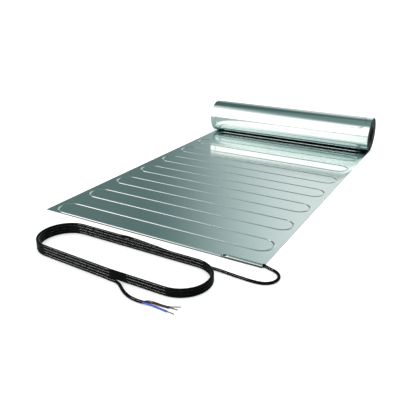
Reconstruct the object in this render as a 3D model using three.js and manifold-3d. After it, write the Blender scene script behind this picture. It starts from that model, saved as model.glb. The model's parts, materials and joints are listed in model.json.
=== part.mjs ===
// Underfloor heating mat: a foil mat with a heating wire laid in it to and fro, partly rolled up,
// with its black supply lead in a hank and the lead's stripped cores at the free end.
// Millimetres. +X runs across the mat, +Y from the front edge to the roll, +Z up.

import * as THREE from 'three';
import { mergeVertices } from 'three/addons/utils/BufferGeometryUtils.js';
import Module from 'manifold-3d';

// Foil mat
const matWidth = 500;
const flatLength = 777;
const foilThickness = 0.8;

// Roll: its turns, counted from the bore outwards
const boreRadius = 22.5;
const turnCount = 14;
const turnPitch = 1.9;
const turnGroove = 1.2;
const rollFacets = 36;
const rollRadius = boreRadius + turnCount * turnPitch;

// Heating wire, laid in straight runs joined by half-round turns
const wireDiameter = 2.0;
const wireChamfer = 0.6;
const wirePitch = 50;
const firstRunInset = 4.2;
const turnMarginLeft = 16;
const turnMarginRight = 11.5;
const turnSteps = 6;

// Joint between the heating wire and the supply lead, at the front right corner
const jointLength = 78;
const jointDiameter = 5.8;
const jointTaper = 13;
const jointFacets = 12;

// Supply lead and its hank
const leadDiameter = 5.4;
const leadSides = 10;
const leadStep = 13;
const touchGap = 0.3;
const hankLeftX = -96.5;
const hankRightX = 152.5;
const hankFarY = -50.5;
const hankNearY = -150.5;
const hankDrift = 7;
const driftEndX = 48;
const driftBackX = 84;
const hankLevels = 4;
const hankChamfer = 1.5;
const topTurnSink = 0.4;
const topLayerStartX = -14;
const topLayerEndX = 62;
const bendSteps = 12;

// Stripped cores
const coreDiameter = 3.0;
const conductorDiameter = 1.5;
const coreSides = 8;

const leadRadius = leadDiameter / 2;
const floorClear = 0.1;
const leadRestZ = leadRadius + floorClear;
const jointRadius = jointDiameter / 2;
const jointCentreZ = foilThickness + jointRadius * Math.cos(Math.PI / jointFacets);

// The lead from the joint, round its loop, past the hank's end and up on to the hank
const loopRoute = [
  [matWidth / 2 + touchGap, firstRunInset, jointCentreZ],
  [254.5, 4.0, 3.5],
  [260, 2.4, 3.1],
  [266, 0.6, leadRestZ],
  [273, -1.6, leadRestZ],
  [280.5, -6.4, leadRestZ],
  [286, -13.9, leadRestZ],
  [288.2, -23.5, leadRestZ],
  [286.3, -33.1, leadRestZ],
  [280.7, -41.4, leadRestZ],
  [272.6, -46.6, leadRestZ],
  [263, -48.9, leadRestZ],
  [250, -49.5, leadRestZ],
  [236.8, -48.8, leadRestZ],
  [225.7, -48.2, leadRestZ],
  [214.2, -47.1, leadRestZ],
  [202.6, -46.0, leadRestZ],
  [190.7, -45.0, leadRestZ],
  [175, -44.8, leadRestZ],
  [158, -44.8, 4.1],
  [140, -44.8, 5.8],
  [120, -44.8, 7.6],
  [100, -44.8, 9.4],
  [80, -44.8, 11.2],
  [62, -44.8, 12.8],
  [48, -44.8, 14.0],
  [36, -45.0, 15.1],
  [24, -45.4, 16.3],
  [12, -46.3, 17.5],
  [2, -47.9, 18.6],
  [-6, -49.7, 19.2],
  [topLayerStartX + touchGap, hankFarY, 19.3],
];

// The lead's free end, from the hank's near side to the stripped end of its jacket
const tailRoute = [
  [66, -159.4, leadRestZ],
  [75.3, -163.5, leadRestZ],
  [84.7, -170.2, leadRestZ],
  [93.9, -176.4, leadRestZ],
  [104.8, -181.7, leadRestZ],
  [115.7, -184.9, leadRestZ],
  [126.5, -186.0, leadRestZ],
  [138, -185.6, leadRestZ],
];

// Cores and their bare conductors, each from the jacket's end outwards
const coreRestZ = coreDiameter / 2 + floorClear;
const conductorRestZ = conductorDiameter / 2 + floorClear;
const blueRoute = [
  [138.4, -187.25, 2.8],
  [144, -186.8, 3.2],
  [152, -185.9, 2.9],
  [166, -185.3, 1.7],
  [180.8, -186.0, coreRestZ],
];
const brownRoute = [
  [138.4, -183.95, 2.8],
  [145, -182.2, 3.2],
  [154, -179.8, 2.6],
  [166, -178.0, 1.8],
  [177.9, -176.8, coreRestZ],
];
const earthRoute = [
  [138.4, -185.6, 4.5],
  [143, -182.9, 5.6],
  [148, -179.6, 4.9],
  [155, -176.9, 3.0],
  [166, -175.5, 1.7],
  [178, -173.2, 1.2],
  [185, -169.2, 0.9],
  [191.7, -165.5, conductorRestZ],
];
const blueTipRoute = [
  [181.1, -186.0, coreRestZ],
  [187, -185.6, 1.3],
  [192.8, -185.9, conductorRestZ],
];
const brownTipRoute = [
  [178.2, -176.8, coreRestZ],
  [185, -175.0, 1.3],
  [191.6, -174.2, conductorRestZ],
];

// Materials
const foilMetal = new THREE.MeshStandardMaterial({ color: 0xb4c4c2, roughness: 0.25, metalness: 1.0 });
const blackJacket = new THREE.MeshStandardMaterial({ color: 0x0b0c0c, roughness: 0.4, metalness: 0.0 });
const blueInsulation = new THREE.MeshStandardMaterial({ color: 0x2a56d8, roughness: 0.45, metalness: 0.0 });
const brownInsulation = new THREE.MeshStandardMaterial({ color: 0x6b2f1e, roughness: 0.45, metalness: 0.0 });
const tinnedCopper = new THREE.MeshStandardMaterial({ color: 0x8d8581, roughness: 0.35, metalness: 1.0 });

const manifold = await Module();
manifold.setup();

// Closed solid of a three.js geometry, ready to be joined or cut
function toSolid(geometry) {
  const bare = geometry.clone();
  bare.deleteAttribute('normal');
  bare.deleteAttribute('uv');
  const welded = mergeVertices(bare, 1e-4);
  const mesh = new manifold.Mesh({
    numProp: 3,
    vertProperties: new Float32Array(welded.attributes.position.array),
    triVerts: new Uint32Array(welded.index.array),
  });
  mesh.merge();
  return new manifold.Manifold(mesh);
}

function toGeometry(solid) {
  const mesh = solid.getMesh();
  const geometry = new THREE.BufferGeometry();
  geometry.setAttribute('position', new THREE.BufferAttribute(new Float32Array(mesh.vertProperties), 3));
  geometry.setIndex(new THREE.BufferAttribute(new Uint32Array(mesh.triVerts), 1));
  geometry.computeVertexNormals();
  return geometry;
}

// One turned ring with its bore; a groove between each two turns shows on both ends
function rollGeometry() {
  const end = matWidth / 2;
  const rightEnd = [];
  for (let turn = 0; turn < turnCount; turn += 1) {
    const inner = boreRadius + turn * turnPitch;
    rightEnd.push(new THREE.Vector2(inner, turn === 0 ? end : end - turnGroove));
    rightEnd.push(new THREE.Vector2(inner + turnPitch / 2, end));
  }
  rightEnd.push(new THREE.Vector2(rollRadius, end));
  const leftEnd = rightEnd.map((point) => new THREE.Vector2(point.x, -point.y));
  const profile = [...leftEnd, ...rightEnd.reverse(), leftEnd[0]];
  const ring = new THREE.LatheGeometry(profile, rollFacets);
  ring.rotateZ(-Math.PI / 2);
  ring.translate(0, flatLength, rollRadius);
  return ring;
}

// The mat: its flat stretch and its roll are one sheet of foil laminate
function foilMat() {
  const flat = new THREE.BoxGeometry(matWidth, flatLength, foilThickness);
  flat.translate(0, flatLength / 2, foilThickness / 2);
  return toGeometry(toSolid(flat).add(toSolid(rollGeometry())));
}

// Centre line of the heating wire on the flat stretch, from the joint to where it runs in under the roll
function wireCentres() {
  const turnRadius = wirePitch / 2;
  const leftX = -matWidth / 2 + turnMarginLeft + turnRadius;
  const rightX = matWidth / 2 - turnMarginRight - turnRadius;
  const dipUnderRoll = foilThickness + wireDiameter + touchGap;
  const rollDepthThere = Math.sqrt(rollRadius ** 2 - (rollRadius - dipUnderRoll) ** 2);
  const lastY = flatLength - rollDepthThere - wireDiameter / 2 - touchGap;
  const centres = [[matWidth / 2 - jointLength - touchGap, firstRunInset]];
  for (let run = 0; firstRunInset + run * wirePitch < lastY; run += 1) {
    const goesLeft = run % 2 === 0;
    const turnX = goesLeft ? leftX : rightX;
    const side = goesLeft ? -1 : 1;
    const turnY = firstRunInset + run * wirePitch + turnRadius;
    for (let step = 0; step <= turnSteps; step += 1) {
      const angle = (Math.PI * step) / turnSteps;
      const y = turnY - turnRadius * Math.cos(angle);
      if (y > lastY) break;
      centres.push([turnX + side * turnRadius * Math.sin(angle), y]);
    }
  }
  return centres;
}

// Points a set distance to one side of a line, square to it
function offsetLine(centres, distance) {
  return centres.map((point, index) => {
    const before = centres[Math.max(index - 1, 0)];
    const after = centres[Math.min(index + 1, centres.length - 1)];
    const length = Math.hypot(after[0] - before[0], after[1] - before[1]);
    const normalX = -(after[1] - before[1]) / length;
    const normalY = (after[0] - before[0]) / length;
    return new THREE.Vector2(point[0] + normalX * distance, point[1] + normalY * distance);
  });
}

// A bar of even width that follows a line on a flat face
function barOutline(centres, width) {
  const left = offsetLine(centres, width / 2);
  const right = offsetLine(centres, -width / 2);
  return new THREE.Shape([...left, ...right.reverse()]);
}

// An outline raised to a height, with its upper and lower edges chamfered
function chamferedBar(outline, height, chamfer) {
  const bar = new THREE.ExtrudeGeometry(outline, {
    depth: height - 2 * chamfer,
    bevelEnabled: true,
    bevelThickness: chamfer,
    bevelSize: chamfer,
    bevelOffset: -chamfer,
    bevelSegments: 1,
  });
  bar.translate(0, 0, chamfer);
  return bar;
}

function heatingWire() {
  const outline = barOutline(wireCentres(), wireDiameter);
  const wire = chamferedBar(outline, wireDiameter, wireChamfer);
  wire.translate(0, 0, foilThickness);
  return wire;
}

// Joint: a turned bar that tapers to the heating wire and rests on the foil with a flat
function leadJoint() {
  const wireEnd = wireDiameter / 2;
  const profile = [
    new THREE.Vector2(0, 0),
    new THREE.Vector2(wireEnd, 0),
    new THREE.Vector2(jointRadius, jointTaper),
    new THREE.Vector2(jointRadius, jointLength),
    new THREE.Vector2(0, jointLength),
  ];
  const bar = new THREE.LatheGeometry(profile, jointFacets);
  bar.rotateY(Math.PI / jointFacets);
  bar.rotateZ(-Math.PI / 2);
  bar.translate(matWidth / 2 - jointLength, firstRunInset, jointCentreZ);
  return bar;
}

// A round tube through the points of a route
function tubeAlong(route, diameter, sides, step) {
  const curve = new THREE.CatmullRomCurve3(route.map((point) => new THREE.Vector3(...point)));
  const section = new THREE.Shape();
  for (let side = 0; side < sides; side += 1) {
    const angle = (2 * Math.PI * side) / sides;
    const x = (diameter / 2) * Math.cos(angle);
    const y = (diameter / 2) * Math.sin(angle);
    if (side === 0) section.moveTo(x, y);
    else section.lineTo(x, y);
  }
  const steps = Math.max(2, Math.round(curve.getLength() / step));
  return new THREE.ExtrudeGeometry(section, { steps, bevelEnabled: false, extrudePath: curve });
}

// Distance that the hank's near side lies outside its straight line
function nearSideDrift(x) {
  if (x <= driftEndX) return (hankDrift * (x - hankLeftX)) / (driftEndX - hankLeftX);
  if (x >= driftBackX) return 0;
  const share = (x - driftEndX) / (driftBackX - driftEndX);
  return hankDrift * (1 - share * share * (3 - 2 * share));
}

// Centre line of the hank from a place on its far side, round its left end, to one on its near side
function hankLeftCentres(farX, nearX) {
  const middleY = (hankFarY + hankNearY) / 2;
  const radius = (hankFarY - hankNearY) / 2;
  const centres = [[farX, hankFarY]];
  for (let step = 0; step <= bendSteps; step += 1) {
    const angle = Math.PI / 2 + (Math.PI * step) / bendSteps;
    centres.push([hankLeftX + radius * Math.cos(angle), middleY + radius * Math.sin(angle)]);
  }
  const driftStep = (driftBackX - driftEndX) / 4;
  for (let x = driftEndX; x < nearX; x += driftStep) centres.push([x, hankNearY - nearSideDrift(x)]);
  centres.push([nearX, hankNearY - nearSideDrift(nearX)]);
  return centres;
}

function hankRightCentres() {
  const middleY = (hankFarY + hankNearY) / 2;
  const radius = (hankFarY - hankNearY) / 2;
  const centres = [];
  for (let step = 0; step <= bendSteps; step += 1) {
    const angle = -Math.PI / 2 + (Math.PI * step) / bendSteps;
    centres.push([hankRightX + radius * Math.cos(angle), middleY + radius * Math.sin(angle)]);
  }
  return centres;
}

// Hank: its turns stand on each other, one less of them right of where the free end leaves
function leadHank() {
  const loop = [...hankLeftCentres(topLayerStartX, driftBackX), ...hankRightCentres()];
  loop.push(loop[0]);
  const closed = [loop[loop.length - 2], ...loop, loop[1]];
  const outer = offsetLine(closed, -leadRadius).slice(1, -2);
  const inner = offsetLine(closed, leadRadius).slice(1, -2);
  const ring = new THREE.Shape(outer);
  ring.holes.push(new THREE.Path(inner));
  const ringHeight = (hankLevels - 1) * leadDiameter;
  const turns = chamferedBar(ring, ringHeight, hankChamfer);
  const topOutline = barOutline(hankLeftCentres(topLayerStartX, topLayerEndX), leadDiameter);
  const topTurn = chamferedBar(topOutline, leadDiameter + topTurnSink, hankChamfer);
  topTurn.translate(0, 0, ringHeight - topTurnSink);
  return toGeometry(toSolid(turns).add(toSolid(topTurn)));
}

const coreStep = 4;
const mat = new THREE.Group();
const pieces = [
  ['foil_mat', foilMat(), foilMetal],
  ['heating_wire', heatingWire(), foilMetal],
  ['lead_joint', leadJoint(), foilMetal],
  ['supply_lead', tubeAlong(loopRoute, leadDiameter, leadSides, leadStep), blackJacket],
  ['lead_hank', leadHank(), blackJacket],
  ['lead_tail', tubeAlong(tailRoute, leadDiameter, leadSides, leadStep), blackJacket],
  ['blue_core', tubeAlong(blueRoute, coreDiameter, coreSides, coreStep), blueInsulation],
  ['blue_conductor', tubeAlong(blueTipRoute, conductorDiameter, coreSides, coreStep), tinnedCopper],
  ['brown_core', tubeAlong(brownRoute, coreDiameter, coreSides, coreStep), brownInsulation],
  ['brown_conductor', tubeAlong(brownTipRoute, conductorDiameter, coreSides, coreStep), tinnedCopper],
  ['earth_conductor', tubeAlong(earthRoute, conductorDiameter, coreSides, coreStep), tinnedCopper],
];
for (const [name, geometry, material] of pieces) {
  const piece = new THREE.Mesh(geometry, material);
  piece.name = name;
  mat.add(piece);
}

// The origin is under the middle of the mat and its roll
mat.position.y = -(flatLength + rollRadius) / 2;

export default mat;
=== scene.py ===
"""Underfloor heating mat: a foil sheet with a heating wire laid in it to and fro, wound into a roll at
the back, with its black supply lead in a hank. Metres, +X across the mat, +Y to the roll, +Z up."""
import json
import math
import random

import bpy
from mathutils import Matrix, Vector
from mathutils.geometry import delaunay_2d_cdt

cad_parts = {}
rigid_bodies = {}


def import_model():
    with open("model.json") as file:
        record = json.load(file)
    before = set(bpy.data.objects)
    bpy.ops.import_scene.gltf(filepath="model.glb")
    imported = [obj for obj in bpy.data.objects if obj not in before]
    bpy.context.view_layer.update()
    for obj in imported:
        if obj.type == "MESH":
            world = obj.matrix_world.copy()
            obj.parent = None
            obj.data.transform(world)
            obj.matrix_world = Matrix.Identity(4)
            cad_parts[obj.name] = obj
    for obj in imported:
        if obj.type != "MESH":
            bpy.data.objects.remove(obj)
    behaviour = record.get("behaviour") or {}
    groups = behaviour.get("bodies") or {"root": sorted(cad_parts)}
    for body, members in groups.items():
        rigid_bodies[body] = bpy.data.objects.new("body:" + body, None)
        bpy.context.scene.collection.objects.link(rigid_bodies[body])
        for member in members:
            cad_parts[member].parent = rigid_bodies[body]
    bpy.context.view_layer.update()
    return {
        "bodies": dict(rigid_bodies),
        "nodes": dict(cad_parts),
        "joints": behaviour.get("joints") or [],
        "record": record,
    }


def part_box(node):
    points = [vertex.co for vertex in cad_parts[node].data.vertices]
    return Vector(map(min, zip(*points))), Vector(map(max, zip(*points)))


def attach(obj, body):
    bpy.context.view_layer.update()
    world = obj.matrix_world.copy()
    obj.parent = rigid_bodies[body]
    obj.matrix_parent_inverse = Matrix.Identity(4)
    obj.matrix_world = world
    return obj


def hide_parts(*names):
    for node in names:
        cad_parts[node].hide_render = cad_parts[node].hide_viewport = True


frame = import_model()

# Mat, read from the frame
mat_low, mat_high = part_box("foil_mat")
FRONT_Y = mat_low.y
HALF_WIDTH = mat_high.x
ROLL_RADIUS_MAX = mat_high.z / 2
FLAT_LENGTH = mat_high.y - ROLL_RADIUS_MAX - FRONT_Y

# Foil sheet
SHEET = 0.0008
BORE_RADIUS = 0.0225
TURN_PITCH = 0.0019
TURNS = 14
ROLL_CLEARANCE = 0.0003
ROLL_RADIUS = ROLL_RADIUS_MAX - ROLL_CLEARANCE
OUTER_ROW_STEP = math.radians(5)
INNER_ROW_STEP = math.radians(7.5)
TURN_WAVE = 0.00022
END_INSET = 0.0011

# Heating wire between the foils
WIRE_PITCH = 0.05
FIRST_RUN = 0.0042
TURN_MARGIN_LEFT = 0.016
TURN_MARGIN_RIGHT = 0.0115
FLAT_RUNS = 16
FIRST_ROLL_RUN = 0.7813
ROLL_RUNS = 7
RIDGE_HEIGHT = 0.0010
RIDGE_CREST_RADIUS = 0.0007
RIDGE_SLOPE = math.radians(39)
RIDGE_FOOT = 0.0032
ROLL_RIDGE_OUT = 0.00028
ROLL_RIDGE_IN = 0.0006
RUN_STEP = 0.028
TURN_STEPS = 30

# Joint between the heating wire and the lead, under the foil
JOINT_START = 0.172
JOINT_TAPER = 0.013
JOINT_RADIUS = 0.0029
JOINT_DRAPE_RADIUS = 0.00295
JOINT_FRONT_FOOT = 0.0102
JOINT_BACK_FOOT = 0.0055
JOINT_FRONT_SLOPE = math.radians(32)
JOINT_BACK_SLOPE = math.radians(56)
JOINT_LIP = 0.0004
COLLAR_RADIUS = 0.0033
COLLAR_END = 0.2545
JOINT_GAP = 0.0001
JOINT_GROWTH = 0.004
SLEEVE_SIDES = 24

# Supply lead
LEAD_DIAMETER = 0.0054
LEAD_RADIUS = LEAD_DIAMETER / 2
LEAD_REST = 0.0028
LEAD_SIDES = 16
LEAD_STEP = 0.003
HANK_LEFT = -0.0965
HANK_RIGHT = 0.1525
HANK_FAR = -0.0505
HANK_NEAR = -0.1505
HANK_DRIFT = 0.007
DRIFT_END = 0.048
DRIFT_BACK = 0.084
HANK_LEVELS = 4
FLOOR_CLEAR = 0.0001

# Cores
CORE_DIAMETER = 0.0030
CONDUCTOR_DIAMETER = 0.0015
CORE_REST = 0.0016
CONDUCTOR_REST = 0.00085
CORE_SIDES = 16
CORE_STEP = 0.0012
STRAND_SIDES = 8
STRAND_STEP = 0.0005
STRAND_TWIST_LENGTH = 0.011

# Camera
CAMERA_PLACE = (0.534746, -1.117237, 0.436375)
CAMERA_DOWN = 0.392129
CAMERA_LEFT = 0.522609
CAMERA_LENS = 45.913

# Studio
FLOOR_HALF_SIZE = 60.0
FLOOR_GLOW = 0.3
LAMP_PLACE = (-1.75, -2.05, 1.9)
LAMP_AIM = (-1.55, -0.52, 0.0)
LAMP_SIZE = (1.7, 0.35)
LAMP_POWER = 420.0

# The lead from the joint, round its loop and up on to the hank, in the mat's own frame
LOOP_ROUTE = [
    (0.2503, 0.0042, 0.003601), (0.2545, 0.0040, 0.0035), (0.260, 0.0024, 0.0031),
    (0.266, 0.0006, LEAD_REST), (0.273, -0.0016, LEAD_REST), (0.2805, -0.0064, LEAD_REST),
    (0.286, -0.0139, LEAD_REST), (0.2882, -0.0235, LEAD_REST), (0.2863, -0.0331, LEAD_REST),
    (0.2807, -0.0414, LEAD_REST), (0.2726, -0.0466, LEAD_REST), (0.263, -0.0489, LEAD_REST),
    (0.250, -0.0495, LEAD_REST), (0.2368, -0.0488, LEAD_REST), (0.2257, -0.0482, LEAD_REST),
    (0.2142, -0.0471, LEAD_REST), (0.2026, -0.0460, LEAD_REST), (0.1907, -0.0450, LEAD_REST),
    (0.175, -0.0448, LEAD_REST), (0.158, -0.0448, 0.0041), (0.140, -0.0448, 0.0058),
    (0.120, -0.0448, 0.0076), (0.100, -0.0448, 0.0094), (0.080, -0.0448, 0.0112),
    (0.062, -0.0448, 0.0128), (0.048, -0.0448, 0.0140), (0.036, -0.0450, 0.0151),
    (0.024, -0.0454, 0.0163), (0.012, -0.0463, 0.0175), (0.002, -0.0479, 0.0186),
    (-0.006, -0.0497, 0.0192), (-0.0137, -0.0505, 0.0193),
]

# The lead's free end, from the hank's near side to the stripped end of its jacket
TAIL_ROUTE = [
    (0.057, -0.1588, LEAD_REST), (0.066, -0.1594, LEAD_REST), (0.0753, -0.1635, LEAD_REST),
    (0.0847, -0.1702, LEAD_REST), (0.0939, -0.1764, LEAD_REST), (0.1048, -0.1817, LEAD_REST),
    (0.1157, -0.1849, LEAD_REST), (0.1265, -0.1860, LEAD_REST), (0.138, -0.1856, LEAD_REST),
]

BLUE_ROUTE = [
    (0.1372, -0.18695, 0.0028), (0.144, -0.1868, 0.0032), (0.152, -0.1859, 0.0029),
    (0.166, -0.1853, 0.0017), (0.1808, -0.1860, CORE_REST),
]
BLUE_TIP_ROUTE = [
    (0.1795, -0.1860, CORE_REST), (0.187, -0.1856, 0.0013), (0.1928, -0.1859, CONDUCTOR_REST),
]
BROWN_ROUTE = [
    (0.1372, -0.18425, 0.0028), (0.145, -0.1822, 0.0032), (0.154, -0.1798, 0.0026),
    (0.166, -0.1780, 0.0018), (0.1779, -0.1768, CORE_REST),
]
BROWN_TIP_ROUTE = [
    (0.1766, -0.1769, CORE_REST), (0.185, -0.1750, 0.0013), (0.1916, -0.1742, CONDUCTOR_REST),
]
EARTH_ROUTE = [
    (0.1372, -0.1856, 0.0043), (0.143, -0.1829, 0.0056), (0.148, -0.1796, 0.0049),
    (0.155, -0.1769, 0.0030), (0.166, -0.1755, 0.0017), (0.178, -0.1732, 0.0012),
    (0.185, -0.1692, 0.0009), (0.1917, -0.1655, CONDUCTOR_REST),
]


def place(point):
    """A point of the mat's own frame in the shared frame."""
    return Vector((point[0], point[1] + FRONT_Y, point[2]))


def smooth(low, high, value):
    """0 below low, 1 above high, and an even S between them."""
    share = min(1.0, max(0.0, (value - low) / (high - low)))
    return share * share * (3 - 2 * share)


def make_camera():
    data = bpy.data.cameras.new("camera")
    data.sensor_width = 36.0
    data.lens = CAMERA_LENS
    data.clip_end = 200.0
    camera = bpy.data.objects.new("camera", data)
    camera.location = CAMERA_PLACE
    camera.rotation_euler = (math.pi / 2 - CAMERA_DOWN, 0.0, CAMERA_LEFT)
    bpy.context.collection.objects.link(camera)
    bpy.context.scene.camera = camera


def add_object(name, points, faces):
    mesh = bpy.data.meshes.new(name)
    mesh.from_pydata(points, [], faces)
    mesh.update()
    piece = bpy.data.objects.new(name, mesh)
    bpy.context.collection.objects.link(piece)
    return piece


def shade(piece, angle=40):
    for polygon in piece.data.polygons:
        polygon.use_smooth = True
    piece.data.set_sharp_from_angle(angle=math.radians(angle))


def dress(piece, material):
    piece.data.materials.clear()
    piece.data.materials.append(material)
    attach(piece, "root")


# Curves and tubes

def curve_through(route, step):
    """Points an even step apart on a smooth curve through a route (centripetal Catmull-Rom)."""
    ends = [route[0] * 2 - route[1], *route, route[-1] * 2 - route[-2]]
    fine = []
    for before, start, end, after in zip(ends, ends[1:], ends[2:], ends[3:]):
        knots = [0.0]
        for a, b in ((before, start), (start, end), (end, after)):
            knots.append(knots[-1] + max((b - a).length, 1e-9) ** 0.5)
        pieces = max(2, math.ceil((end - start).length / step * 4))
        for index in range(pieces):
            t = knots[1] + (knots[2] - knots[1]) * index / pieces
            a1 = before.lerp(start, (t - knots[0]) / (knots[1] - knots[0]))
            a2 = start.lerp(end, (t - knots[1]) / (knots[2] - knots[1]))
            a3 = end.lerp(after, (t - knots[2]) / (knots[3] - knots[2]))
            b1 = a1.lerp(a2, (t - knots[0]) / (knots[2] - knots[0]))
            b2 = a2.lerp(a3, (t - knots[1]) / (knots[3] - knots[1]))
            fine.append(b1.lerp(b2, (t - knots[1]) / (knots[2] - knots[1])))
    fine.append(route[-1].copy())
    return evenly_spaced(fine, step)


def evenly_spaced(points, step):
    lengths = [0.0]
    for a, b in zip(points, points[1:]):
        lengths.append(lengths[-1] + (b - a).length)
    count = max(2, round(lengths[-1] / step))
    spaced = []
    index = 0
    for number in range(count + 1):
        target = lengths[-1] * number / count
        while index < len(points) - 2 and lengths[index + 1] < target:
            index += 1
        span = max(lengths[index + 1] - lengths[index], 1e-12)
        spaced.append(points[index].lerp(points[index + 1], min(1.0, (target - lengths[index]) / span)))
    return spaced


def frames_along(centres):
    """Two directions square to the line at each centre, carried along without twist."""
    frames = []
    side = None
    for index, centre in enumerate(centres):
        ahead = centres[min(index + 1, len(centres) - 1)] - centres[max(index - 1, 0)]
        ahead.normalize()
        if side is None:
            side = ahead.cross(Vector((0, 0, 1))).normalized()
        side = (side - ahead * side.dot(ahead)).normalized()
        frames.append((side, ahead.cross(side).normalized(), ahead))
    return frames


def tube_mesh(name, centres, radii, sides, cup=0.0):
    """A closed tube; with a cup its last end is hollowed a little, as a cut jacket is."""
    frames = frames_along(centres)
    rings = [(centre, radius, frame) for centre, radius, frame in zip(centres, radii, frames)]
    if cup:
        ahead = frames[-1][2]
        rings.append((centres[-1], radii[-1] * 0.66, frames[-1]))
        rings.append((centres[-1] - ahead * cup, radii[-1] * 0.62, frames[-1]))
    points = []
    for centre, radius, (side, up, _) in rings:
        for number in range(sides):
            angle = 2 * math.pi * number / sides
            points.append(centre + side * (radius * math.cos(angle)) + up * (radius * math.sin(angle)))
    faces = []
    for ring in range(len(rings) - 1):
        for number in range(sides):
            following = (number + 1) % sides
            faces.append((
                ring * sides + number,
                ring * sides + following,
                (ring + 1) * sides + following,
                (ring + 1) * sides + number,
            ))
    last = (len(rings) - 1) * sides
    faces.append(tuple(reversed(range(sides))))
    faces.append(tuple(range(last, last + sides)))
    return add_object(name, points, faces)


# Supply lead

def near_side_drift(x):
    if x <= DRIFT_END:
        return HANK_DRIFT * (x - HANK_LEFT) / (DRIFT_END - HANK_LEFT)
    return HANK_DRIFT * (1 - smooth(DRIFT_END, DRIFT_BACK, x))


def level_height(level):
    return (level + 0.5) * LEAD_DIAMETER + FLOOR_CLEAR


def bend(centre_x, start_angle, height, steps=24):
    radius = (HANK_FAR - HANK_NEAR) / 2
    middle = (HANK_FAR + HANK_NEAR) / 2
    points = []
    for step in range(steps + 1):
        angle = start_angle + math.pi * step / steps
        points.append((centre_x + radius * math.cos(angle), middle + radius * math.sin(angle), height))
    return points


def hank_points():
    """The turns from the top level down: each turn steps down one level on the near side."""
    points = []
    for level in reversed(range(HANK_LEVELS)):
        height = level_height(level)
        points += bend(HANK_LEFT, math.pi / 2, height)
        for step in range(1, 12):
            x = HANK_LEFT + (DRIFT_END - HANK_LEFT) * step / 12
            points.append((x, HANK_NEAR - near_side_drift(x), height))
        if level == 0:
            break
        for step in range(9):
            x = DRIFT_END + (DRIFT_BACK - DRIFT_END) * step / 8
            drop = LEAD_DIAMETER * smooth(DRIFT_END, DRIFT_BACK, x)
            points.append((x, HANK_NEAR - near_side_drift(x), height - drop))
        points.append((0.118, HANK_NEAR, height - LEAD_DIAMETER))
        points += bend(HANK_RIGHT, -math.pi / 2, height - LEAD_DIAMETER)
        for step in range(1, 12):
            x = HANK_RIGHT + (HANK_LEFT - HANK_RIGHT) * step / 12
            points.append((x, HANK_FAR, height - LEAD_DIAMETER))
    return points


def settled(point):
    """A point of the climbing lead, let down on to the strand that carries it."""
    x, y, z = point
    carrier = level_height(HANK_LEVELS - 2)
    if z < carrier:
        return point
    share = LEAD_DIAMETER / math.hypot(y - HANK_FAR, z - carrier)
    return x, HANK_FAR + (y - HANK_FAR) * share, carrier + (z - carrier) * share


def lead_route():
    hank = [(x, HANK_FAR, level_height(HANK_LEVELS - 1)) for x in (-0.028, -0.048, -0.072)]
    hank += hank_points()
    return [place(point) for point in [settled(point) for point in LOOP_ROUTE] + hank + TAIL_ROUTE]


def make_lead(jacket):
    centres = curve_through(lead_route(), LEAD_STEP)
    length = sum((b - a).length for a, b in zip(centres, centres[1:]))
    radii = [LEAD_RADIUS] * len(centres)
    piece = tube_mesh("supply_cable", centres, radii, LEAD_SIDES, cup=0.0008)
    shade(piece)
    dress(piece, jacket)
    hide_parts("supply_lead", "lead_hank", "lead_tail")
    piece.visible_glossy = False
    return piece, centres, length


# Materials

def new_material(name):
    material = bpy.data.materials.new(name)
    material.use_nodes = True
    nodes = material.node_tree.nodes
    nodes.clear()
    output = nodes.new("ShaderNodeOutputMaterial")
    shader = nodes.new("ShaderNodeBsdfPrincipled")
    material.node_tree.links.new(shader.outputs["BSDF"], output.inputs["Surface"])
    return material, shader


def noise(material, scale, detail=3.0, stretch=(1, 1, 1)):
    nodes = material.node_tree.nodes
    links = material.node_tree.links
    place_node = nodes.new("ShaderNodeTexCoord")
    mapping = nodes.new("ShaderNodeMapping")
    mapping.inputs["Scale"].default_value = stretch
    texture = nodes.new("ShaderNodeTexNoise")
    texture.inputs["Scale"].default_value = scale
    texture.inputs["Detail"].default_value = detail
    links.new(place_node.outputs["Object"], mapping.inputs["Vector"])
    links.new(mapping.outputs["Vector"], texture.inputs["Vector"])
    return texture.outputs["Fac"]


def spread(material, value, low, high):
    node = material.node_tree.nodes.new("ShaderNodeMapRange")
    node.inputs["From Min"].default_value = 0.3
    node.inputs["From Max"].default_value = 0.7
    node.inputs["To Min"].default_value = low
    node.inputs["To Max"].default_value = high
    material.node_tree.links.new(value, node.inputs["Value"])
    return node.outputs["Result"]


def blend_colours(material, value, low, high):
    ramp = material.node_tree.nodes.new("ShaderNodeValToRGB")
    ramp.color_ramp.elements[0].position = 0.3
    ramp.color_ramp.elements[0].color = (*low, 1)
    ramp.color_ramp.elements[1].position = 0.7
    ramp.color_ramp.elements[1].color = (*high, 1)
    material.node_tree.links.new(value, ramp.inputs["Fac"])
    return ramp.outputs["Color"]


def add_bump(material, shader, height, distance, strength=1.0):
    bump = material.node_tree.nodes.new("ShaderNodeBump")
    bump.inputs["Distance"].default_value = distance
    bump.inputs["Strength"].default_value = strength
    material.node_tree.links.new(height, bump.inputs["Height"])
    material.node_tree.links.new(bump.outputs["Normal"], shader.inputs["Normal"])


def foil_material():
    material, shader = new_material("foil")
    links = material.node_tree.links
    patches = noise(material, 9.0, 2.0)
    grain = noise(material, 260.0, 2.0, (1.0, 0.35, 1.0))
    links.new(blend_colours(material, patches, (0.665, 0.765, 0.750), (0.685, 0.785, 0.770)),
              shader.inputs["Base Color"])
    links.new(spread(material, grain, 0.12, 0.15), shader.inputs["Roughness"])
    shader.inputs["Metallic"].default_value = 1.0
    add_bump(material, shader, grain, 0.000008)
    return material


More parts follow.
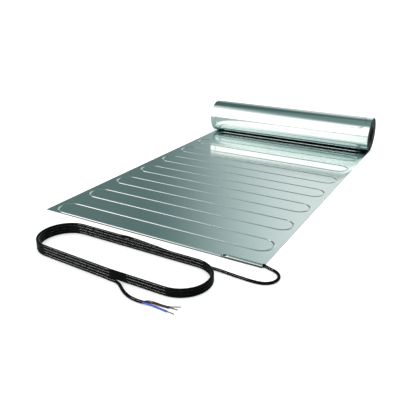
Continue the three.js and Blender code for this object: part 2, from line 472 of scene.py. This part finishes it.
def cut_edge_and_painted_shade_material():
    """The sheet's cut edges, where foil and film end in a dull grey line, painted darker still: the colour
    also stands for the shade in the gaps between the roll's turns and under the sheet's front edge.
    """
    material, shader = new_material("cut_edge_and_painted_shade")
    links = material.node_tree.links
    layers = noise(material, 900.0, 2.0, (0.1, 1.0, 1.0))
    # Dark base colour: partly the cut edge's own dull grey, partly painted shade of the gaps between turns
    # and under the front edge
    links.new(blend_colours(material, layers, (0.07, 0.085, 0.082), (0.11, 0.13, 0.125)),
              shader.inputs["Base Color"])
    links.new(spread(material, layers, 0.5, 0.65), shader.inputs["Roughness"])
    shader.inputs["Metallic"].default_value = 0.5
    return material


def jacket_material():
    material, shader = new_material("black_jacket")
    links = material.node_tree.links
    patches = noise(material, 60.0, 3.0)
    grain = noise(material, 1500.0, 2.0)
    links.new(blend_colours(material, patches, (0.0010, 0.0013, 0.0013), (0.0016, 0.0020, 0.0020)),
              shader.inputs["Base Color"])
    links.new(spread(material, patches, 0.08, 0.11), shader.inputs["Roughness"])
    shader.inputs["Specular IOR Level"].default_value = 0.035
    add_bump(material, shader, grain, 0.000004)
    return material


def insulation_material(name, dark, light):
    material, shader = new_material(name)
    links = material.node_tree.links
    patches = noise(material, 120.0, 3.0)
    links.new(blend_colours(material, patches, dark, light), shader.inputs["Base Color"])
    links.new(spread(material, patches, 0.32, 0.42), shader.inputs["Roughness"])
    add_bump(material, shader, noise(material, 2500.0, 2.0), 0.00002)
    return material


def conductor_material():
    material, shader = new_material("tinned_strands")
    links = material.node_tree.links
    patches = noise(material, 300.0, 3.0)
    links.new(blend_colours(material, patches, (0.075, 0.066, 0.063), (0.13, 0.118, 0.113)),
              shader.inputs["Base Color"])
    links.new(spread(material, patches, 0.35, 0.5), shader.inputs["Roughness"])
    shader.inputs["Metallic"].default_value = 1.0
    return material


def floor_material():
    material, shader = new_material("pale_floor")
    links = material.node_tree.links
    patches = noise(material, 0.7, 2.0)
    pale = blend_colours(material, patches, (0.86, 0.86, 0.86), (0.88, 0.88, 0.88))
    path = material.node_tree.nodes.new("ShaderNodeLightPath")
    chooser = material.node_tree.nodes.new("ShaderNodeMix")
    chooser.data_type = "RGBA"
    links.new(path.outputs["Is Glossy Ray"], chooser.inputs["Factor"])
    links.new(pale, chooser.inputs["A"])
    chooser.inputs["B"].default_value = (0.40, 0.48, 0.464, 1)
    links.new(chooser.outputs["Result"], shader.inputs["Base Color"])
    shader.inputs["Roughness"].default_value = 0.9
    shader.inputs["Specular IOR Level"].default_value = 0.0
    shader.inputs["Emission Color"].default_value = (1, 1, 1, 1)
    glow = material.node_tree.nodes.new("ShaderNodeMath")
    glow.operation = "MULTIPLY"
    glow.inputs[1].default_value = FLOOR_GLOW
    links.new(path.outputs["Is Camera Ray"], glow.inputs[0])
    links.new(glow.outputs["Value"], shader.inputs["Emission Strength"])
    return material


# Foil sheet

def wire_runs():
    """Distance of each wire run from the front edge, measured along the sheet."""
    runs = [FIRST_RUN + number * WIRE_PITCH for number in range(FLAT_RUNS)]
    runs += [FIRST_ROLL_RUN + number * WIRE_PITCH for number in range(ROLL_RUNS)]
    return runs


RUNS = wire_runs()
TURN_LEFT = -HALF_WIDTH + TURN_MARGIN_LEFT + WIRE_PITCH / 2
TURN_RIGHT = HALF_WIDTH - TURN_MARGIN_RIGHT - WIRE_PITCH / 2
LAST_RUN = RUNS[-1]


def wire_distance(x, along):
    """Distance on the sheet from a point to the heating wire's centre line."""
    nearest = 1.0
    for number, run in enumerate(RUNS):
        if abs(along - run) > WIRE_PITCH:
            continue
        right = JOINT_START + JOINT_TAPER if number == 0 else TURN_RIGHT
        over = max(TURN_LEFT - x, 0.0, x - right)
        nearest = min(nearest, math.hypot(over, along - run))
        if number + 1 < len(RUNS):
            turn_x = TURN_LEFT if number % 2 == 0 else TURN_RIGHT
            outward = (turn_x - x) if number % 2 == 0 else (x - turn_x)
            if outward > 0:
                middle = (run + RUNS[number + 1]) / 2
                radius = (RUNS[number + 1] - run) / 2
                nearest = min(nearest, abs(math.hypot(x - turn_x, along - middle) - radius))
    return nearest


def drape(distance, foot, slope):
    """Height of a sheet laid over the joint's round bar, down to its foot."""
    edge = JOINT_DRAPE_RADIUS * math.sin(slope)
    if distance < edge:
        return JOINT_RADIUS + math.sqrt(JOINT_DRAPE_RADIUS ** 2 - distance ** 2)
    share = max(0.0, (foot - distance) / (foot - edge))
    return share * (JOINT_RADIUS + JOINT_DRAPE_RADIUS * math.cos(slope))


def joint_height(x, along):
    grown = smooth(JOINT_START - JOINT_GROWTH, JOINT_START + JOINT_TAPER, x)
    if grown == 0.0:
        return 0.0
    across = along - FIRST_RUN
    if across < 0:
        over = max(0.0, JOINT_LIP - along)
        rounded = JOINT_LIP - math.sqrt(JOINT_LIP ** 2 - over ** 2)
        return grown * (drape(-across, JOINT_FRONT_FOOT, JOINT_FRONT_SLOPE) - rounded)
    return grown * drape(across, JOINT_BACK_FOOT, JOINT_BACK_SLOPE)


def ridge(distance):
    """Share of the ridge's height at a distance from the wire: a round crest and even slopes."""
    shoulder = RIDGE_CREST_RADIUS * math.sin(RIDGE_SLOPE)
    if distance < shoulder:
        drop = RIDGE_CREST_RADIUS - math.sqrt(RIDGE_CREST_RADIUS ** 2 - distance ** 2)
    else:
        drop = RIDGE_CREST_RADIUS * (1 - math.cos(RIDGE_SLOPE))
        drop += (distance - shoulder) * math.tan(RIDGE_SLOPE)
    return max(0.0, 1 - drop / RIDGE_HEIGHT)


def sheet_heights(x, along):
    """Heights of the sheet's lower and upper faces above its flat underside."""
    bump = ridge(wire_distance(x, along))
    rolled = smooth(FLAT_LENGTH - 0.015, FLAT_LENGTH + 0.01, along)
    hidden = smooth(LAST_RUN + 0.001, LAST_RUN + 0.01, along)
    upper = (RIDGE_HEIGHT * (1 - rolled) + ROLL_RIDGE_IN * rolled * (1 - hidden)) * bump
    out = smooth(FLAT_LENGTH + 0.008, FLAT_LENGTH + 0.035, along) * (1 - hidden)
    joint = joint_height(x, along)
    lifted = max(0.0, joint - JOINT_GAP) * smooth(0.0002, 0.0014, along)
    lower = lifted - ROLL_RIDGE_OUT * out * bump
    return lower, SHEET + max(upper, joint)


def turns_in(angle):
    """How many turn thicknesses the sheet has wound inwards at an angle round the roll."""
    return smooth(math.pi, 2 * math.pi, angle) if angle < 2 * math.pi else angle / (2 * math.pi)


def roll_radius_at(angle, waves):
    turns = turns_in(angle)
    loose = TURN_WAVE * smooth(1.0, 2.0, turns)
    wave = sum(math.sin(k * angle + phase) for k, phase in waves) / len(waves)
    return ROLL_RADIUS - TURN_PITCH * turns + loose * wave


def roll_rows():
    """Angle round the roll and distance along the sheet for every row of the roll."""
    phases = random.Random(5)
    waves = [(k, phases.uniform(0, 2 * math.pi)) for k in (0.83, 1.71, 2.37)]
    rows = []
    angle = 0.0
    along = FLAT_LENGTH
    while angle < 2 * math.pi * TURNS:
        rows.append((angle, along, roll_radius_at(angle, waves)))
        step = OUTER_ROW_STEP if angle < 2 * math.pi + 0.2 else INNER_ROW_STEP
        radius = roll_radius_at(angle + step / 2, waves)
        angle += step
        along += radius * step
    return rows


ROLL_ROWS = roll_rows()
SHEET_LENGTH = ROLL_ROWS[-1][1]


def place_on_sheet(x, along, height, rows_from):
    """Where a point of the flat pattern lies once the mat is rolled, and the row that it is on."""
    if along <= FLAT_LENGTH:
        return Vector((x, FRONT_Y + along, height)), rows_from
    while rows_from < len(ROLL_ROWS) - 2 and ROLL_ROWS[rows_from + 1][1] < along:
        rows_from += 1
    angle_a, along_a, radius_a = ROLL_ROWS[rows_from]
    angle_b, along_b, radius_b = ROLL_ROWS[rows_from + 1]
    share = min(1.0, (along - along_a) / (along_b - along_a))
    angle = angle_a + (angle_b - angle_a) * share
    radius = radius_a + (radius_b - radius_a) * share - height
    y = FRONT_Y + FLAT_LENGTH + radius * math.sin(angle)
    z = ROLL_RADIUS - radius * math.cos(angle)
    return Vector((x * edge_share(angle), y, z)), rows_from


def edge_share(angle):
    """The inner turns end a little short of the outer one, each by its own amount."""
    turn = max(0.0, angle / (2 * math.pi) - 1.0)
    share = 0.5 + 0.5 * math.sin(turn * 4.1 + 1.3 * math.sin(turn * 1.7))
    inset = END_INSET * min(1.0, turn * 2) * share
    return 1 - inset / HALF_WIDTH


def ridge_offsets():
    offsets = (0.0, 0.00022, 0.00045, 0.00057, 0.00135, 0.00148, RIDGE_FOOT)
    return sorted({sign * offset for offset in offsets for sign in (-1, 1)})


def pattern_lines():
    """Lines of the flat pattern that the sheet's faces follow."""
    lines = []
    for number, run in enumerate(RUNS):
        right = JOINT_START - JOINT_GROWTH if number == 0 else TURN_RIGHT
        count = math.ceil((right - TURN_LEFT) / RUN_STEP)
        xs = [TURN_LEFT + (right - TURN_LEFT) * k / count for k in range(count + 1)]
        for offset in ridge_offsets():
            lines.append([(x, run + offset) for x in xs])
        if number + 1 < len(RUNS):
            lines += turn_lines(number)
    return lines


def turn_lines(number):
    middle = (RUNS[number] + RUNS[number + 1]) / 2
    radius = (RUNS[number + 1] - RUNS[number]) / 2
    centre = TURN_LEFT if number % 2 == 0 else TURN_RIGHT
    side = -1 if number % 2 == 0 else 1
    lines = []
    for offset in ridge_offsets():
        arc = []
        for step in range(TURN_STEPS + 1):
            angle = math.pi * step / TURN_STEPS
            arc.append((centre + side * (radius + offset) * math.sin(angle),
                        middle - (radius + offset) * math.cos(angle)))
        lines.append(arc)
    return lines


def joint_lines():
    across = [
        -0.0042, -0.00415, -0.0040, -0.0037, -0.0027, -0.0020, -0.0016, -0.0008, 0.0, 0.0008, 0.0016, 0.0021,
        0.0026, 0.0034, 0.0042, 0.0050, 0.0055, 0.0068,
    ]
    xs = [JOINT_START - JOINT_GROWTH + 0.0022 * k for k in range(10)]
    xs += [xs[-1] + (HALF_WIDTH - xs[-1]) * k / 6 for k in range(1, 7)]
    return [[(x, FIRST_RUN + offset) for x in xs] for offset in across]


def row_lines():
    """Straight rows round the roll, left out where a wire run's own lines already lie."""
    lines = []
    for _, along, _ in ROLL_ROWS:
        clear = min(abs(along - run) for run in RUNS) > RIDGE_FOOT * 1.15
        if clear or along > LAST_RUN + 2 * RIDGE_FOOT:
            lines.append([(-HALF_WIDTH, along), (HALF_WIDTH, along)])
    return lines


def flat_pattern():
    """The sheet's flat pattern as points and triangles, in millimetres while it is worked out."""
    corners = [
        (-HALF_WIDTH, 0.0),
        (HALF_WIDTH, 0.0),
        (HALF_WIDTH, SHEET_LENGTH),
        (-HALF_WIDTH, SHEET_LENGTH),
    ]
    lines = [corners + corners[:1], *pattern_lines(), *joint_lines(), *row_lines()]
    points = []
    edges = []
    for line in lines:
        first = len(points)
        for x, along in line:
            inside = max(-HALF_WIDTH, min(HALF_WIDTH, x)), max(0.0, min(SHEET_LENGTH, along))
            points.append(Vector((inside[0] * 1000, inside[1] * 1000)))
        edges += [(first + k, first + k + 1) for k in range(len(line) - 1)]
    found, _, faces, *_ = delaunay_2d_cdt(points, edges, [], 0, 0.001)
    flat = [(point.x / 1000, point.y / 1000) for point in found]
    return flat, faces


def make_foil(foil, cut_edge_and_painted_shade):
    flat, triangles = flat_pattern()
    order = sorted(range(len(flat)), key=lambda k: flat[k][1])
    count = len(flat)
    points = [None] * (2 * count)
    row_low = 0
    for k in order:
        x, along = flat[k]
        lower, upper = sheet_heights(x, along)
        points[k], row_low = place_on_sheet(x, along, upper, row_low)
        points[k + count], row_low = place_on_sheet(x, along, lower, row_low)
    faces = []
    used = {}
    for a, b, c in triangles:
        (xa, ya), (xb, yb), (xc, yc) = flat[a], flat[b], flat[c]
        if (xb - xa) * (yc - ya) - (xc - xa) * (yb - ya) < 0:
            b, c = c, b
        faces.append((a, b, c))
        faces.append((a + count, c + count, b + count))
        for edge in ((a, b), (b, c), (c, a)):
            used[edge] = used.get(edge, 0) + 1
    skin = len(faces)
    for a, b in used:
        if (b, a) not in used:
            faces.append((b, a, a + count, b + count))
    piece = add_object("foil_sheet", points, faces)
    shade(piece, 45)
    dress(piece, foil)
    # The sheet's side walls take the cut edge colour, which carries painted shade between the roll's turns
    # and under the front edge
    piece.data.materials.append(cut_edge_and_painted_shade)
    for polygon in piece.data.polygons[skin:]:
        polygon.material_index = 1
    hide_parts("foil_mat", "heating_wire")
    return piece


# Joint sleeve

def make_sleeve(jacket):
    height = SHEET + JOINT_RADIUS
    profile = [
        (JOINT_START + 0.002, 0.0011), (JOINT_START + 0.006, 0.0016), (JOINT_START + JOINT_TAPER, 0.0027),
        (0.230, 0.0028), (0.246, 0.0028), (0.2494, 0.0029), (0.2498, COLLAR_RADIUS - 0.0002),
        (0.2503, COLLAR_RADIUS), (0.2531, COLLAR_RADIUS), (COLLAR_END - 0.0004, COLLAR_RADIUS - 0.0002),
        (COLLAR_END, COLLAR_RADIUS - 0.0005),
    ]
    centres = [place((x, FIRST_RUN, height)) for x, _ in profile]
    radii = [radius for _, radius in profile]
    piece = tube_mesh("joint_sleeve", centres, radii, SLEEVE_SIDES)
    shade(piece)
    dress(piece, jacket)
    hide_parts("lead_joint")
    return piece


# Cores and conductors

def make_core(name, route, material, node):
    centres = curve_through([place(point) for point in route], CORE_STEP)
    radii = [CORE_DIAMETER / 2] * len(centres)
    piece = tube_mesh(name, centres, radii, CORE_SIDES, cup=0.0003)
    shade(piece)
    dress(piece, material)
    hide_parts(node)
    return piece


def make_conductor(name, route, material, node):
    """Seven thin strands twisted together, the outer six round the middle one."""
    centres = curve_through([place(point) for point in route], STRAND_STEP)
    frames = frames_along(centres)
    strand_radius = CONDUCTOR_DIAMETER / 6
    twist = 2 * math.pi / STRAND_TWIST_LENGTH
    points = []
    faces = []
    for strand in range(7):
        line = []
        for index, (centre, (side, up, _)) in enumerate(zip(centres, frames)):
            angle = math.pi * strand / 3 + twist * STRAND_STEP * index
            away = 0.0 if strand == 6 else 2 * strand_radius
            line.append(centre + side * (away * math.cos(angle)) + up * (away * math.sin(angle)))
        strand_piece = tube_mesh("strand", line, [strand_radius] * len(line), STRAND_SIDES)
        first = len(points)
        points += [vertex.co.copy() for vertex in strand_piece.data.vertices]
        faces += [tuple(first + k for k in polygon.vertices) for polygon in strand_piece.data.polygons]
        mesh = strand_piece.data
        bpy.data.objects.remove(strand_piece)
        bpy.data.meshes.remove(mesh)
    piece = add_object(name, points, faces)
    shade(piece)
    dress(piece, material)
    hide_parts(node)
    return piece


# Studio

def make_floor():
    size = FLOOR_HALF_SIZE
    corners = [(-size, -size, 0), (size, -size, 0), (size, size, 0), (-size, size, 0)]
    floor = add_object("floor", [Vector(corner) for corner in corners], [(0, 1, 2, 3)])
    floor.data.materials.append(floor_material())


def world_math(nodes, links, operation, *inputs):
    node = nodes.new("ShaderNodeMath")
    node.operation = operation
    for socket, value in zip(node.inputs, inputs):
        if isinstance(value, (int, float)):
            socket.default_value = value
        else:
            links.new(value, socket)
    return node.outputs["Value"]


def world_step(nodes, links, value, low, high, to_low=0.0, to_high=1.0):
    node = nodes.new("ShaderNodeMapRange")
    node.interpolation_type = "SMOOTHSTEP"
    node.inputs["From Min"].default_value = low
    node.inputs["From Max"].default_value = high
    node.inputs["To Min"].default_value = to_low
    node.inputs["To Max"].default_value = to_high
    links.new(value, node.inputs["Value"])
    return node.outputs["Result"]


def mirrored_walls(nodes, links, height, turned):
    """Brightness that metal mirrors at a height and a turn to the left of +Y, both in degrees."""
    # Light wall ahead and to the right, fading out with height
    right = world_step(nodes, links, turned, 15, 37, 1.0, 0.0)
    low_half = world_step(nodes, links, height, 24, 62, 1.0, 0.0)
    light_wall = world_math(nodes, links, "MULTIPLY", right, low_half)
    light_wall = world_math(nodes, links, "MULTIPLY", light_wall, 0.73)
    # Dark room elsewhere, darkest at half height
    dip = world_step(nodes, links, height, 32, 40, 0.2, 0.135)
    overhead = world_step(nodes, links, height, 58, 72, 0.0, 0.15)
    room = world_math(nodes, links, "ADD", dip, overhead)
    # White wall behind and to the left, with its low part narrower than its high part
    high_part = world_math(nodes, links, "MULTIPLY", world_step(nodes, links, turned, 75, 100),
                           world_step(nodes, links, height, 34, 44))
    behind = world_math(nodes, links, "MAXIMUM", high_part,
                        world_step(nodes, links, turned, 128, 146))
    behind = world_math(nodes, links, "MULTIPLY", behind,
                        world_step(nodes, links, turned, 165, 178, 1.0, 0.0))
    under_ceiling = world_step(nodes, links, height, 45, 72, 1.0, 0.0)
    white_wall = world_math(nodes, links, "MULTIPLY", behind, under_ceiling)
    white_wall = world_math(nodes, links, "MULTIPLY", white_wall, 1.8)
    # Light strip along the horizon
    horizon = world_step(nodes, links, height, 8, 15, 0.8, 0.0)
    value = world_math(nodes, links, "ADD", room, light_wall)
    value = world_math(nodes, links, "ADD", value, white_wall)
    return world_math(nodes, links, "MAXIMUM", value, horizon)


def later_reflections(nodes, links, value, depth, height, turned):
    """Softer contrast in a second reflection, and little light left in a fourth."""
    second = world_math(nodes, links, "GREATER_THAN", depth, 1.5)
    fourth = world_math(nodes, links, "GREATER_THAN", depth, 3.5)
    turned_size = world_math(nodes, links, "ABSOLUTE", turned)
    fill = world_math(nodes, links, "MULTIPLY", world_step(nodes, links, height, 22, 30, 0.0, 0.5),
                      world_step(nodes, links, height, 46, 60, 1.0, 0.0))
    fill = world_math(nodes, links, "MULTIPLY", fill, second)
    fill = world_math(nodes, links, "MULTIPLY", fill,
                      world_step(nodes, links, turned_size, 70, 95, 1.0, 0.0))
    value = world_math(nodes, links, "ADD", value, fill)
    left_over = world_math(nodes, links, "SUBTRACT", 1.0,
                           world_math(nodes, links, "MULTIPLY", fourth, 0.7))
    return world_math(nodes, links, "MULTIPLY", value, left_over)


def make_world():
    """An even white room, in which metal mirrors dark and light walls instead."""
    world = bpy.data.worlds.new("studio")
    bpy.context.scene.world = world
    world.use_nodes = True
    nodes = world.node_tree.nodes
    links = world.node_tree.links
    nodes.clear()
    direction = nodes.new("ShaderNodeTexCoord").outputs["Generated"]
    split = nodes.new("ShaderNodeSeparateXYZ")
    links.new(direction, split.inputs["Vector"])
    x, y, z = split.outputs
    height = world_math(nodes, links, "ARCSINE", z)
    height = world_math(nodes, links, "MULTIPLY", height, 180 / math.pi)
    turned = world_math(nodes, links, "ARCTAN2", world_math(nodes, links, "MULTIPLY", x, -1.0), y)
    turned = world_math(nodes, links, "MULTIPLY", turned, 180 / math.pi)
    path = nodes.new("ShaderNodeLightPath")
    value = mirrored_walls(nodes, links, height, turned)
    value = later_reflections(nodes, links, value, path.outputs["Glossy Depth"], height, turned)
    colour = nodes.new("ShaderNodeCombineColor")
    links.new(world_math(nodes, links, "POWER", value, 1.25), colour.inputs["Red"])
    links.new(value, colour.inputs["Green"])
    links.new(world_math(nodes, links, "MULTIPLY", value, 0.99), colour.inputs["Blue"])
    seen = nodes.new("ShaderNodeBackground")
    seen.inputs["Color"].default_value = (1, 1, 1, 1)
    seen.inputs["Strength"].default_value = 1.25
    mirrored = nodes.new("ShaderNodeBackground")
    links.new(colour.outputs["Color"], mirrored.inputs["Color"])
    chooser = nodes.new("ShaderNodeMixShader")
    links.new(path.outputs["Is Glossy Ray"], chooser.inputs["Fac"])
    links.new(seen.outputs["Background"], chooser.inputs[1])
    links.new(mirrored.outputs["Background"], chooser.inputs[2])
    output = nodes.new("ShaderNodeOutputWorld")
    links.new(chooser.outputs["Shader"], output.inputs["Surface"])


def make_light(name, location, target, size, power, lit):
    """A soft light that falls only on the pieces named as lit."""
    data = bpy.data.lights.new(name, "AREA")
    data.shape = "RECTANGLE"
    data.size, data.size_y = size
    data.energy = power
    light = bpy.data.objects.new(name, data)
    light.location = location
    light.rotation_euler = (Vector(target) - Vector(location)).to_track_quat("-Z", "Y").to_euler()
    bpy.context.collection.objects.link(light)
    receivers = bpy.data.collections.new(name + "_receivers")
    for piece in lit:
        receivers.objects.link(piece)
    light.light_linking.receiver_collection = receivers


def main():
    make_camera()
    jacket = jacket_material()
    foil = foil_material()
    blue = insulation_material("blue_insulation", (0.03, 0.085, 0.42), (0.045, 0.115, 0.54))
    brown = insulation_material("brown_insulation", (0.03, 0.008, 0.005), (0.07, 0.02, 0.011))
    strands = conductor_material()
    cable, centres, length = make_lead(jacket)
    on_cable = [
        make_core("blue_lead_core", BLUE_ROUTE, blue, "blue_core"),
        make_conductor("blue_strands", BLUE_TIP_ROUTE, strands, "blue_conductor"),
        make_core("brown_lead_core", BROWN_ROUTE, brown, "brown_core"),
        make_conductor("brown_strands", BROWN_TIP_ROUTE, strands, "brown_conductor"),
        make_conductor("earth_strands", EARTH_ROUTE, strands, "earth_conductor"),
    ]
    make_foil(foil, cut_edge_and_painted_shade_material())
    make_sleeve(jacket)
    make_floor()
    make_world()
    make_light("side_lamp", LAMP_PLACE, LAMP_AIM, LAMP_SIZE, LAMP_POWER, [cable])
    bpy.context.scene.view_settings.view_transform = "Standard"


main()
